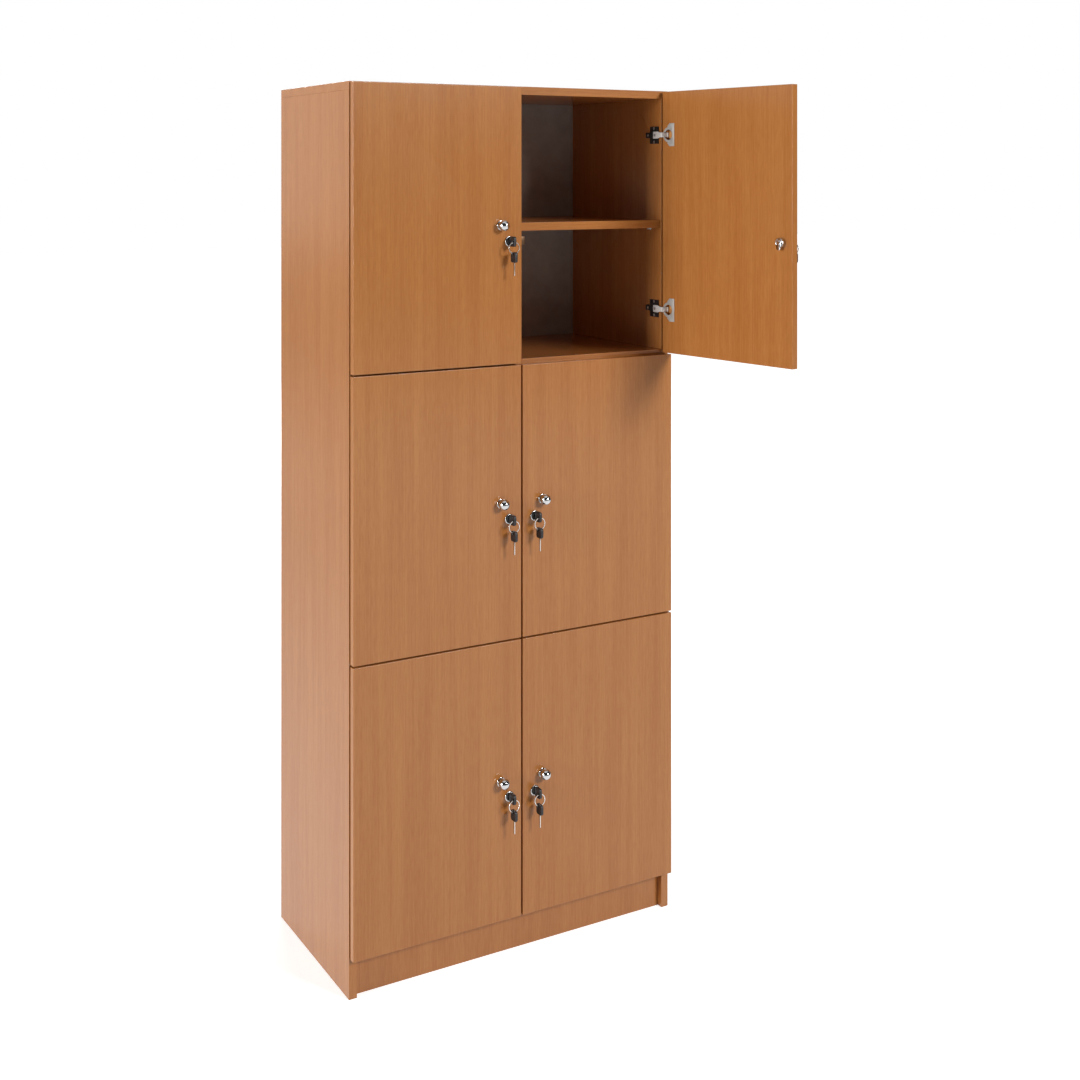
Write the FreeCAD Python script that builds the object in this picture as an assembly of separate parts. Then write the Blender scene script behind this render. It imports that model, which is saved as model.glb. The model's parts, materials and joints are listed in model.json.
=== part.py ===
import FreeCAD, Part
import math
import os
from FreeCAD import Vector

# Compartment locker cabinet: two columns of three lockable compartments, each with a shelf.
# Frame: X to the right, Y to the back, Z up. The origin is the middle of the plinth board's underside.

# Columns and rows of compartments, and the door that stands open
SIDES = {"left": -1, "right": 1}
ROWS = ("bottom", "middle", "top")
OPEN_DOOR = ("top", "right")

# Carcass
cabinet_width = 800.0
cabinet_depth = 400.0
cabinet_height = 1900.0
board = 18.0
back_sheet = 3.0
back_rabbet = 9.0
back_clearance = 0.5
plinth_height = 82.0
plinth_recess = 14.0
board_round = 0.5

# Shelves and their pins
shelf_side_clearance = 0.75
shelf_front_inset = 3.0
shelf_back_clearance = 2.0
pin_radius = 2.5
pin_reach = 8.0
pin_flange_radius = 4.0
pin_flange = 1.2
pin_setback = 45.0

# Doors
door_thickness = 16.0
door_gap = 2.0
door_reveal = 2.0
door_round = 0.9
open_angle = 99.0

# Cup hinges
hinge_from_end = 100.0
cup_radius = 17.5
cup_edge = 2.5
cup_wall = 0.8
cup_floor = 0.6
door_skin = 2.8
flange_thickness = 1.2
flange_half_height = 26.5
flange_near = 8.0
flange_wing_near = 17.0
flange_wing_start = 14.5
flange_wing_chamfer = 6.5
flange_overlap = 1.5
flange_hole_radius = 12.0
cup_screw_half_spacing = 22.5
cup_screw_offset = 7.0
cup_screw_depth = 12.0
hinge_pin_radius = 1.1
hinge_pin_play = 0.05
eye_wall = 0.8
eye_floor_clearance = 0.2
swing_clearance = 0.25
tongue_half_width = 5.5
tongue_clearance = 0.6
lug_thickness = 3.0
arm_thickness = 1.6
arm_half_width = 8.0
arm_flare_end = 4.8
arm_end = 23.5
plate_wing = 2.5
plate_wing_half_height = 20.0
plate_wing_half_length = 17.0
plate_screw_setback = 26.5
plate_screw_half_spacing = 16.0
plate_screw_depth = 13.0
spine_rise = 5.5
spine_front = 12.0
spine_end = 56.5
spine_half_width = 6.3
cheek_clearance = 0.1
clamp_screw_setback = 17.5
depth_screw_setback = 47.5
clamp_screw_depth = 4.0

# Knobs
knob_from_edge = 50.0
knob_radius = 12.0
knob_reach = 26.0
knob_base_radius = 10.5
knob_base = 2.5
knob_neck_radius = 5.0
knob_stud_radius = 2.0
knob_stud_depth = 12.0

# Cam locks
lock_from_edge = 30.0
lock_below_knob = 35.0
collar_radius = 11.25
collar_thickness = 3.0
collar_chamfer = 1.0
barrel_radius = 9.0
barrel_tail = 9.0
nut_radius = 11.0
nut_height = 8.8
plug_radius = 6.5
plug_play = 0.05
plug_tail_play = 0.2
cam_thickness = 2.0
cam_half_width = 6.0
cam_reach = 16.0
cam_square = 7.0
cam_screw_radius = 4.5
cam_screw_height = 1.4
keyway_play = 0.1
keyway_spare_depth = 0.5
keeper_thickness = 2.0
keeper_reach = 10.5
keeper_half_height = 9.0
keeper_leg_length = 26.0
keeper_cam_clearance = 0.8
keeper_screw_first = 10.0
keeper_screw_pitch = 10.0

# Keys and key rings
key_blade_length = 29.0
key_blade_height = 5.0
key_blade_thickness = 1.8
key_notch = 1.0
key_notch_count = 4
key_shoulder_gap = 2.0
key_head_length = 22.5
key_head_width = 22.0
key_head_thickness = 6.0
key_head_corner = 5.0
key_blade_seat = 10.0
key_hole_radius = 2.6
key_hole_from_end = 4.8
ring_radius = 12.5
ring_wire_radius = 1.0
ring_play = 0.05

# Joining hardware
dowel_radius = 4.0
dowel_length = 30.0
dowel_face_skin = 6.0
dowel_setback = 50.0
plinth_dowel_inset = 20.0
partition_skin = 1.5
cam_bolt_radius = 3.0
cam_bolt_skin = 7.0
cam_disc_radius = 7.5
cam_disc_height = 12.5
cam_disc_distance = 24.0
cam_disc_setback = 85.0
nail_shank_radius = 0.8
nail_length = 20.0
nail_head_radius = 2.5
nail_head = 0.8
nail_pitch = 160.0
nail_edge_inset = 60.0
wood_screw_radius = 1.75
screw_head_radius = 3.5
screw_head_rise = 0.2
recess_half_width = 0.45
recess_half_length = 2.0
recess_depth = 1.1

# Worked-out places of the carcass
row_count = len(ROWS)
half_width = cabinet_width / 2
wall_x = half_width - board
partition_x = board / 2
front_y = -(plinth_recess + board / 2)
back_y = front_y + cabinet_depth
inner_back_y = back_y - back_sheet
floor_board_top = plinth_height + board
clear_height = (cabinet_height - floor_board_top - row_count * board) / row_count
row_pitch = clear_height + board
top_underside = cabinet_height - board

# Worked-out places of the doors and hinges
door_edge_x = half_width - door_reveal
door_back_y = front_y - door_gap
door_front_y = door_back_y - door_thickness
cup_depth = door_thickness - door_skin
cup_center_u = cup_edge + cup_radius
eye_radius = hinge_pin_radius + hinge_pin_play + eye_wall
pin_v = -(cup_depth - cup_floor - eye_floor_clearance - eye_radius)
pin_u = math.sqrt((-pin_v + door_gap - swing_clearance) ** 2 - pin_v**2)
slot_half = tongue_half_width + tongue_clearance
wall_u = door_edge_x - wall_x
arm_u = wall_u + spine_rise
hinge_axis_x = door_edge_x - pin_u
hinge_axis_y = door_back_y + pin_v

# Worked-out places of the locks and keys, along the lock's axis
lock_x = door_reveal + lock_from_edge
knob_x = door_reveal + knob_from_edge
collar_front_y = door_front_y - collar_thickness
barrel_end_y = door_back_y + barrel_tail
cam_y = barrel_end_y + plug_tail_play
cam_end_y = cam_y + cam_thickness
keeper_y = cam_y - keeper_cam_clearance - keeper_thickness
blade_inserted = key_blade_length - key_shoulder_gap
key_head_y = collar_front_y - key_shoulder_gap
key_hole_y = key_head_y - key_head_length + key_hole_from_end
ring_sag = ring_radius - math.sqrt(ring_radius**2 - (key_head_thickness / 2) ** 2)
ring_slope = math.asin(key_head_thickness / 2 / ring_radius)
ring_seat = key_hole_radius - ring_wire_radius / math.cos(ring_slope) - ring_play - ring_sag
ring_drop = ring_seat + ring_radius
dowel_face_depth = board - dowel_face_skin
bolt_face_depth = board - cam_bolt_skin
partition_bore = board / 2 - partition_skin

TO_BACK = Vector(0, 1, 0)
TO_FRONT = Vector(0, -1, 0)
UP = Vector(0, 0, 1)
DOWN = Vector(0, 0, -1)


def outward(side):
    """Direction from the middle of the cabinet to one of its sides."""
    return Vector(side, 0, 0)


def box(x0, x1, y0, y1, z0, z1):
    corner = Vector(min(x0, x1), min(y0, y1), min(z0, z1))
    return Part.makeBox(abs(x1 - x0), abs(y1 - y0), abs(z1 - z0), corner)


def rounded_box(x0, x1, y0, y1, z0, z1, radius):
    block = box(x0, x1, y0, y1, z0, z1)
    return block.makeFillet(radius, block.Edges)


def rod(start, direction, radius, length):
    return Part.makeCylinder(radius, length, start, direction)


def prism(points, along):
    """Solid with the polygon's outline, drawn out along a vector."""
    return Part.Face(Part.makePolygon(points + points[:1])).extrude(along)


def turned(profile, start, direction):
    """Lathe-turned solid: profile lists (radius, distance along the direction from start)."""
    points = [Vector(r, 0, d) for r, d in profile]
    solid = Part.Face(Part.makePolygon(points + points[:1])).revolve(Vector(0, 0, 0), UP, 360)
    solid.Placement = FreeCAD.Placement(start, FreeCAD.Rotation(UP, direction))
    return solid


def near(body, tools):
    return [tool for tool in tools if tool.BoundBox.intersect(body.BoundBox)]


def seated(body, tools):
    """The body with a seat cut for every piece that reaches into it."""
    close = near(body, tools)
    return body.cut(close) if close else body


def group(solids):
    return Part.makeCompound([piece for shape in solids for piece in shape.Solids])


def spread(start, end, pitch):
    """Evenly spaced places from start to end, about a pitch apart."""
    steps = max(1, round((end - start) / pitch))
    return [start + (end - start) * step / steps for step in range(steps + 1)]


def screw_bore(face_point, direction, depth):
    """Full form of a countersunk screw whose head lies in the face at face_point."""
    head_depth = screw_head_radius - wood_screw_radius
    profile = [
        (0, -screw_head_rise),
        (screw_head_radius, -screw_head_rise),
        (screw_head_radius, 0),
        (wood_screw_radius, head_depth),
        (wood_screw_radius, depth - wood_screw_radius),
        (0, depth),
    ]
    return turned(profile, face_point, direction)


def wood_screw(face_point, direction, depth):
    """Countersunk screw with a cross recess in its head."""
    screw = screw_bore(face_point, direction, depth)
    top = -screw_head_rise
    for length, width in ((recess_half_length, recess_half_width), (recess_half_width, recess_half_length)):
        recess = box(-length, length, -width, width, top, top + recess_depth)
        recess.Placement = screw.Placement.multiply(recess.Placement)
        screw = screw.cut(recess)
    return screw


def wood_screws(places):
    return [wood_screw(*place) for place in places]


def screw_bores(places):
    return [screw_bore(*place) for place in places]


def floor_z(row):
    """Height of a compartment's floor, counted from the bottom row."""
    return floor_board_top + row * row_pitch


def shelf_z(row):
    """Height of a shelf's underside, midway up its compartment."""
    return floor_z(row) + (clear_height - board) / 2


def door_heights(row):
    lower = plinth_height if row == 0 else floor_z(row) - board / 2
    upper = cabinet_height if row == row_count - 1 else floor_z(row) + clear_height + board / 2
    return lower + door_reveal, upper - door_reveal


def knob_z(row):
    return sum(door_heights(row)) / 2


def lock_z(row):
    return knob_z(row) - lock_below_knob


def hinge_heights(row):
    lower, upper = door_heights(row)
    return lower + hinge_from_end, upper - hinge_from_end


def setbacks(distance):
    """Two places in the depth, a distance in from the front and from the back."""
    return front_y + distance, back_y - distance


def deck_heights():
    """Heights of the undersides of the boards between the rows."""
    return [floor_z(row) + clear_height for row in range(row_count - 1)]


def carcass_dowels():
    dowels = []
    end_depth = dowel_length - dowel_face_depth
    for y in setbacks(dowel_setback):
        for x in (-half_width + board / 2, 0, half_width - board / 2):
            dowels.append(rod(Vector(x, y, top_underside - end_depth), UP, dowel_radius, dowel_length))
        dowels.append(rod(Vector(0, y, floor_board_top - dowel_face_depth), UP, dowel_radius, dowel_length))
        for side in SIDES.values():
            for z in [plinth_height] + deck_heights():
                start = Vector(side * (wall_x + dowel_face_depth), y, z + board / 2)
                dowels.append(rod(start, outward(-side), dowel_radius, dowel_length))
            for z in deck_heights():
                start = Vector(side * (partition_x - partition_bore), y, z + board / 2)
                dowels.append(rod(start, outward(side), dowel_radius, partition_bore + end_depth))
    for side in SIDES.values():
        for z in (plinth_dowel_inset, plinth_height - plinth_dowel_inset):
            start = Vector(side * (wall_x + dowel_face_depth), 0, z)
            dowels.append(rod(start, outward(-side), dowel_radius, dowel_length))
    return dowels


def cam_fittings():
    """Cam discs let into the boards, and the bolts that they draw tight."""
    bolts = []
    discs = []
    reach = bolt_face_depth + cam_disc_distance
    inner_reach = partition_x + cam_disc_distance
    top_disc_z = top_underside - cam_disc_distance
    low_disc_z = floor_board_top + cam_disc_distance
    for y in setbacks(cam_disc_setback):
        for side in SIDES.values():
            for z in [plinth_height] + deck_heights():
                start = Vector(side * (wall_x + bolt_face_depth), y, z + board / 2)
                bolts.append(rod(start, outward(-side), cam_bolt_radius, reach))
                discs.append((Vector(side * (wall_x - cam_disc_distance), y, z), UP))
            for z in deck_heights():
                discs.append((Vector(side * inner_reach, y, z), UP))
            start = Vector(side * (half_width - board / 2), y, top_disc_z)
            bolts.append(rod(start, UP, cam_bolt_radius, reach))
            discs.append((Vector(side * wall_x, y, top_disc_z), outward(side)))
        for z in deck_heights():
            start = Vector(-inner_reach, y, z + board / 2)
            bolts.append(rod(start, outward(1), cam_bolt_radius, 2 * inner_reach))
        for z, direction in ((top_disc_z, UP), (low_disc_z, DOWN)):
            bolts.append(rod(Vector(0, y, z), direction, cam_bolt_radius, reach))
            discs.append((Vector(partition_x, y, z), outward(-1)))
    blanks = [rod(start, direction, cam_disc_radius, cam_disc_height) for start, direction in discs]
    return [seated(blank, bolts) for blank in blanks] + bolts


def shelf_pins():
    """Four pins under each shelf, each with a flange against the wall that holds it."""
    pins = []
    for row in range(row_count):
        shelf = shelf_z(row)
        above = box(-half_width, half_width, front_y, back_y, shelf, shelf + pin_flange_radius)
        z = shelf - pin_radius
        for y in setbacks(pin_setback):
            for side in SIDES.values():
                for wall, into in ((wall_x, side), (partition_x, -side)):
                    profile = [
                        (0, -pin_reach),
                        (pin_radius, -pin_reach),
                        (pin_radius, -pin_flange),
                        (pin_flange_radius, -pin_flange),
                        (pin_flange_radius, 0),
                        (pin_radius, 0),
                        (pin_radius, partition_bore),
                        (0, partition_bore),
                    ]
                    pin = turned(profile, Vector(side * wall, y, z), outward(into))
                    pins.append(pin.cut(above))
    return pins


def back_nails():
    """Nails through the back sheet into the boards that it covers."""
    places = []
    edge_x = wall_x + back_rabbet / 2
    top_z = top_underside + back_rabbet / 2
    for x in (-edge_x, 0, edge_x):
        for z in spread(plinth_height + nail_edge_inset, top_underside - nail_edge_inset, nail_pitch):
            places.append((x, z))
    for z in [plinth_height + board / 2] + [deck + board / 2 for deck in deck_heights()] + [top_z]:
        for side in SIDES.values():
            for x in spread(nail_edge_inset, wall_x - nail_edge_inset, nail_pitch):
                places.append((side * x, z))
    profile = [
        (0, -nail_head),
        (nail_head_radius, -nail_head),
        (nail_head_radius, 0),
        (nail_shank_radius, 0),
        (nail_shank_radius, nail_length),
        (0, nail_length),
    ]
    return [turned(profile, Vector(x, back_y, z), TO_FRONT) for x, z in places]


def hinge_point(side, u, v, z):
    """Place in a hinge: u from the door's hinged edge, v back from the door's rear face."""
    return Vector(side * (door_edge_x - u), door_back_y + v, z)


def hinge_box(side, u, v, z):
    """Block in a hinge, from pairs of low and high limits."""
    low = hinge_point(side, u[0], v[0], z[0])
    high = hinge_point(side, u[1], v[1], z[1])
    return box(low.x, high.x, low.y, high.y, low.z, high.z)


def cup_screw_places(side, z):
    u = cup_center_u + cup_screw_offset
    return [
        (hinge_point(side, u, flange_thickness, z + dz), TO_FRONT, cup_screw_depth)
        for dz in (-cup_screw_half_spacing, cup_screw_half_spacing)
    ]


def hinge_pin(side, z):
    half_length = slot_half + lug_thickness
    return rod(hinge_point(side, pin_u, pin_v, z - half_length), UP, hinge_pin_radius, 2 * half_length)


def cup_bore(side, z):
    return rod(hinge_point(side, cup_center_u, 0, z), TO_FRONT, cup_radius, cup_depth)


def hinge_cup(side, z):
    """Pressed cup with its winged flange, open towards the hinged edge for the arm's tongue."""
    flange_far = cup_center_u + cup_radius + flange_overlap
    neck = slot_half + lug_thickness
    upper = [
        (flange_near, neck),
        (flange_wing_near, flange_wing_start),
        (flange_wing_near, flange_half_height - flange_wing_chamfer),
        (flange_wing_near + flange_wing_chamfer, flange_half_height),
        (flange_far, flange_half_height),
    ]
    outline = upper + [(u, -dz) for u, dz in reversed(upper)]
    wings = prism([hinge_point(side, u, 0, z + dz) for u, dz in outline], TO_BACK * flange_thickness)
    rim = rod(hinge_point(side, cup_center_u, 0, z), TO_BACK, cup_radius, flange_thickness)
    hole = rod(hinge_point(side, cup_center_u, 0, z), TO_BACK, flange_hole_radius, flange_thickness)
    hollow_depth = cup_depth - cup_floor
    hollow = rod(hinge_point(side, cup_center_u, 0, z), TO_FRONT, cup_radius - cup_wall, hollow_depth)
    lug_u = (0, pin_u + eye_radius)
    lug_v = (-cup_depth, pin_v + eye_radius)
    lugs = hinge_box(side, lug_u, lug_v, (z - neck, z + neck)).common(cup_bore(side, z))
    slot_v = (-hollow_depth, flange_thickness)
    slot = hinge_box(side, (0, cup_center_u), slot_v, (z - slot_half, z + slot_half))
    flange = wings.fuse(rim).cut(hole)
    cup = cup_bore(side, z).cut(hollow).multiFuse([flange, lugs]).cut(slot)
    return seated(cup, screw_bores(cup_screw_places(side, z)) + [hinge_pin(side, z)])


def hinge_plate(side, z):
    """Cross-shaped plate on the side wall, with a raised spine that carries the arm."""
    x = side * wall_x
    screw_y = front_y + plate_screw_setback
    wing_half = plate_wing_half_length
    wing = box(x, x - side * plate_wing, screw_y - wing_half, screw_y + wing_half,
               z - plate_wing_half_height, z + plate_wing_half_height)
    spine = box(x, x - side * spine_rise, front_y + spine_front, front_y + spine_end,
                z - spine_half_width, z + spine_half_width)
    return seated(wing.fuse(spine), screw_bores(plate_screw_places(side, z)))


def plate_screw_places(side, z):
    """Two screws into the wall, and the clamping and depth screws into the spine."""
    places = []
    for dz in (-plate_screw_half_spacing, plate_screw_half_spacing):
        wing_face = Vector(side * (wall_x - plate_wing), front_y + plate_screw_setback, z + dz)
        places.append((wing_face, outward(side), plate_screw_depth))
    arm_face = Vector(side * (wall_x - spine_rise - arm_thickness), front_y + clamp_screw_setback, z)
    spine_face = Vector(side * (wall_x - spine_rise), front_y + depth_screw_setback, z)
    places.append((arm_face, outward(side), arm_thickness + clamp_screw_depth))
    places.append((spine_face, outward(side), clamp_screw_depth))
    return places


def hinge_arm(side, z):
    """Cranked arm: an eye on the hinge pin, a tongue in the cup and a channel over the plate's spine."""
    low_v = pin_v - arm_thickness / 2
    end_v = door_gap + arm_end
    wide_v = door_gap + arm_flare_end
    outline = [
        (low_v, -tongue_half_width),
        (-arm_thickness, -tongue_half_width),
        (wide_v, -arm_half_width),
        (end_v, -arm_half_width),
    ]
    outline += [(v, -dz) for v, dz in reversed(outline)]
    web_points = [hinge_point(side, arm_u, v, z + dz) for v, dz in outline]
    web = prism(web_points, outward(-side) * arm_thickness)
    tongue_z = (z - tongue_half_width, z + tongue_half_width)
    tongue = hinge_box(side, (pin_u, arm_u + arm_thickness), (low_v, low_v + arm_thickness), tongue_z)
    eye_start = hinge_point(side, pin_u, pin_v, z - tongue_half_width)
    eye = rod(eye_start, UP, eye_radius, 2 * tongue_half_width)
    cheek_u = (wall_u + plate_wing + cheek_clearance, arm_u)
    cheek_v = (door_gap + spine_front, end_v)
    cheek_z = spine_half_width + cheek_clearance
    cheeks = [
        hinge_box(side, cheek_u, cheek_v, (z - arm_half_width, z - cheek_z)),
        hinge_box(side, cheek_u, cheek_v, (z + cheek_z, z + arm_half_width)),
    ]
    arm = web.multiFuse([tongue, eye] + cheeks).removeSplitter()
    bore = rod(eye_start, UP, hinge_pin_radius + hinge_pin_play, 2 * tongue_half_width)
    return seated(arm.cut(bore), screw_bores(plate_screw_places(side, z)))


def knob(side, row):
    """Ball knob on a small rose, with a threaded stud into the door."""
    center = knob_reach - knob_radius
    neck_end = Vector(knob_neck_radius, 0, center - math.sqrt(knob_radius**2 - knob_neck_radius**2))
    tip = Vector(0, 0, knob_reach)
    ball = Part.Arc(neck_end, Vector(knob_radius, 0, center), tip)
    corners = [
        tip,
        Vector(0, 0, -knob_stud_depth),
        Vector(knob_stud_radius, 0, -knob_stud_depth),
        Vector(knob_stud_radius, 0, 0),
        Vector(knob_base_radius, 0, 0),
        Vector(knob_base_radius, 0, knob_base / 2),
        Vector(knob_neck_radius, 0, knob_base),
        neck_end,
    ]
    outline = Part.Wire(Part.makePolygon(corners).Edges + [ball.toShape()])
    solid = Part.Face(outline).revolve(Vector(0, 0, 0), UP, 360)
    place = Vector(side * knob_x, door_front_y, knob_z(row))
    solid.Placement = FreeCAD.Placement(place, FreeCAD.Rotation(UP, TO_FRONT))
    return solid


def lock_barrel(side, row):
    """Collar and threaded barrel through the door, and the round nut behind it."""
    start = Vector(side * lock_x, collar_front_y, lock_z(row))
    door_at = collar_thickness
    length = collar_thickness + door_thickness + barrel_tail
    barrel = turned(
        [
            (plug_radius, 0),
            (collar_radius - collar_chamfer, 0),
            (collar_radius, collar_chamfer),
            (collar_radius, door_at),
            (barrel_radius, door_at),
            (barrel_radius, length),
            (plug_radius, length),
        ],
        start,
        TO_BACK,
    )
    nut_at = door_at + door_thickness
    nut = turned(
        [
            (barrel_radius, nut_at),
            (nut_radius, nut_at),
            (nut_radius, nut_at + nut_height - collar_chamfer),
            (nut_radius - collar_chamfer, nut_at + nut_height),
            (barrel_radius, nut_at + nut_height),
        ],
        start,
        TO_BACK,
    )
    return [barrel, nut]


def lock_cam(side, row):
    """Turning plug with its keyway, the cam on the plug's square tail, and the cam's screw."""
    x = side * lock_x
    z = lock_z(row)
    half_square = cam_square / 2
    plug = rod(Vector(x, collar_front_y, z), TO_BACK, plug_radius - plug_play, cam_y - collar_front_y)
    tail = box(x - half_square, x + half_square, cam_y, cam_end_y, z - half_square, z + half_square)
    keyway_x = key_blade_thickness / 2 + keyway_play
    keyway_z = key_blade_height / 2 + keyway_play
    keyway_end = collar_front_y + blade_inserted + keyway_spare_depth
    keyway = box(x - keyway_x, x + keyway_x, collar_front_y, keyway_end, z - keyway_z, z + keyway_z)
    arm_z = z - cam_reach + cam_half_width
    cam = box(x - cam_half_width, x + cam_half_width, cam_y, cam_end_y, arm_z, z)
    cam = cam.fuse(rod(Vector(x, cam_y, z), TO_BACK, cam_half_width, cam_thickness))
    cam = cam.fuse(rod(Vector(x, cam_y, arm_z), TO_BACK, cam_half_width, cam_thickness)).removeSplitter()
    screw = rod(Vector(x, cam_end_y, z), TO_BACK, cam_screw_radius, cam_screw_height)
    return [plug.fuse(tail).cut(keyway), cam.cut(tail), screw]


def key_solids(tip, along, across, thick):
    """A key from the tip of its blade: along its length, across its head, and through its thickness."""

    def block(start, end, half_width, half_thickness):
        corners = [(start, -half_width), (end, -half_width), (end, half_width), (start, half_width)]
        points = [tip + along * a + across * w - thick * half_thickness for a, w in corners]
        return prism(points, thick * (2 * half_thickness))

    head_start = key_blade_length
    head_end = head_start + key_head_length
    blade = block(0, head_start + key_blade_seat, key_blade_height / 2, key_blade_thickness / 2)
    for step in range(key_notch_count):
        notch_at = tip + along * (key_blade_height * (step + 1)) + across * (key_blade_height / 2)
        notch_start = notch_at - thick * key_blade_thickness
        blade = blade.cut(rod(notch_start, thick, key_notch, 2 * key_blade_thickness))
    head = block(head_start, head_end, key_head_width / 2, key_head_thickness / 2)
    corner_edges = [edge for edge in head.Edges if round(abs(edge.tangentAt(edge.FirstParameter).dot(thick)))]
    head = head.makeFillet(key_head_corner, corner_edges)
    hole_at = tip + along * (head_end - key_hole_from_end) - thick * key_head_thickness
    head = head.cut(rod(hole_at, thick, key_hole_radius, 2 * key_head_thickness))
    return [head.cut(blade), blade]


def key(side, row):
    """Key in its lock, head upright, and the ring that hangs from the head's hole."""
    x = side * lock_x
    z = lock_z(row)
    tip = Vector(x, collar_front_y + blade_inserted, z)
    center = Vector(x, key_hole_y, z - ring_drop)
    ring = Part.makeTorus(ring_radius, ring_wire_radius, center, TO_BACK)
    return key_solids(tip, TO_FRONT, UP, Vector(1, 0, 0)) + [ring]


def spare_key(side, row):
    """Second key, hanging from the bottom of the ring."""
    hole_z = lock_z(row) - 2 * ring_drop
    tip_z = hole_z + key_hole_from_end - key_head_length - key_blade_length
    return key_solids(Vector(side * lock_x, key_hole_y, tip_z), UP, TO_BACK, Vector(1, 0, 0))


def lock_keeper(side, row):
    """Angle on the partition, which the turned cam closes behind."""
    x = side * partition_x
    low = lock_z(row) - keeper_half_height
    high = lock_z(row) + keeper_half_height
    leg = box(x, x + side * keeper_reach, keeper_y, keeper_y + keeper_thickness, low, high)
    foot = box(x, x + side * keeper_thickness, keeper_y, keeper_y + keeper_leg_length, low, high)
    return seated(leg.fuse(foot).removeSplitter(), screw_bores(keeper_screw_places(side, row)))


def keeper_screw_places(side, row):
    face_x = side * (partition_x + keeper_thickness)
    depth = keeper_thickness + partition_bore
    return [
        (Vector(face_x, keeper_y + distance, lock_z(row)), outward(-side), depth)
        for distance in (keeper_screw_first, keeper_screw_first + keeper_screw_pitch)
    ]


def door_pieces(side, row):
    """The pieces that swing with one door, by name, with the door closed."""
    lower, upper = door_heights(row)
    heights = hinge_heights(row)
    near_x = side * door_reveal
    far_x = side * door_edge_x
    panel = rounded_box(near_x, far_x, door_front_y, door_back_y, lower, upper, door_round)
    the_knob = knob(side, row)
    barrel = lock_barrel(side, row)
    lock_bore = rod(Vector(side * lock_x, door_front_y, lock_z(row)), TO_BACK, barrel_radius, door_thickness)
    screw_places = [place for z in heights for place in cup_screw_places(side, z)]
    bores = [cup_bore(side, z) for z in heights] + [lock_bore, the_knob] + screw_bores(screw_places)
    cups = [hinge_cup(side, z) for z in heights]
    pins = [hinge_pin(side, z) for z in heights]
    return {
        "door": [seated(panel, bores)],
        "hinge_cups": cups + pins + wood_screws(screw_places),
        "knob": [the_knob],
        "lock_barrel": barrel,
        "lock_cam": lock_cam(side, row),
        "key": key(side, row),
        "spare_key": spare_key(side, row),
    }


def swung_open(shape, side):
    """A door's piece turned about its hinge pins to where the open door stands."""
    turned_shape = shape.copy()
    turned_shape.rotate(Vector(side * hinge_axis_x, hinge_axis_y, 0), UP, side * open_angle)
    return turned_shape


def side_panel(side):
    x = side * half_width
    panel = rounded_box(x, side * wall_x, front_y, back_y, 0, top_underside, board_round)
    rabbet = box(side * (wall_x - board), side * (wall_x + back_rabbet), inner_back_y, back_y + board,
                 plinth_height, cabinet_height)
    return panel.cut(rabbet)


def top_panel():
    panel = rounded_box(-half_width, half_width, front_y, back_y, top_underside, cabinet_height, board_round)
    rabbet_x = wall_x + back_rabbet
    rabbet = box(-rabbet_x, rabbet_x, inner_back_y, back_y + board, 0, top_underside + back_rabbet)
    return panel.cut(rabbet)


def between(x0, x1, z, front, back):
    """A flat board of full thickness between two places in the width."""
    return rounded_box(x0, x1, front, back, z, z + board, board_round)


def carcass_boards():
    """The boards of the carcass by name, before their seats for fittings are cut."""
    sheet_x = wall_x + back_rabbet - back_clearance
    sheet_top = top_underside + back_rabbet - back_clearance
    plinth_front = front_y + plinth_recess
    shelf_front = front_y + shelf_front_inset
    shelf_back = inner_back_y - shelf_back_clearance
    partition = rounded_box(-partition_x, partition_x, front_y, inner_back_y, floor_board_top, top_underside,
                            board_round)
    decks = []
    shelves = []
    for side in SIDES.values():
        inner = side * partition_x
        outer = side * wall_x
        clearance = side * shelf_side_clearance
        decks += [between(inner, outer, z, front_y, inner_back_y) for z in deck_heights()]
        shelves += [
            between(inner + clearance, outer - clearance, shelf_z(row), shelf_front, shelf_back)
            for row in range(row_count)
        ]
    return {
        "left_side_panel": [side_panel(SIDES["left"])],
        "right_side_panel": [side_panel(SIDES["right"])],
        "top_panel": [top_panel()],
        "bottom_panel": [between(-wall_x, wall_x, plinth_height, front_y, inner_back_y)],
        "centre_partition": [partition],
        "deck_panels": decks,
        "shelves": shelves,
        "back_panel": [box(-sheet_x, sheet_x, inner_back_y, back_y, plinth_height, sheet_top)],
        "plinth_board": [
            rounded_box(-wall_x, wall_x, plinth_front, plinth_front + board, 0, plinth_height, board_round)
        ],
    }


def carcass_pieces():
    places = [(side, row) for side in SIDES.values() for row in range(row_count)]
    hinges = [(side, z) for side, row in places for z in hinge_heights(row)]
    plate_screws = [place for side, z in hinges for place in plate_screw_places(side, z)]
    keeper_screws = [place for side, row in places for place in keeper_screw_places(side, row)]
    fittings = {
        "shelf_pins": shelf_pins(),
        "carcass_dowels": carcass_dowels(),
        "cam_fittings": cam_fittings(),
        "back_nails": back_nails(),
        "hinge_plates": [hinge_plate(side, z) for side, z in hinges],
        "hinge_arms": [hinge_arm(side, z) for side, z in hinges],
        "hinge_screws": wood_screws(plate_screws),
        "lock_keepers": [lock_keeper(side, row) for side, row in places],
        "keeper_screws": wood_screws(keeper_screws),
    }
    let_in = ("shelf_pins", "carcass_dowels", "cam_fittings", "back_nails", "hinge_screws", "keeper_screws")
    tools = [piece for name in let_in for piece in fittings[name]]
    boards = {name: [seated(panel, tools) for panel in panels] for name, panels in carcass_boards().items()}
    return {**boards, **fittings}


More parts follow.
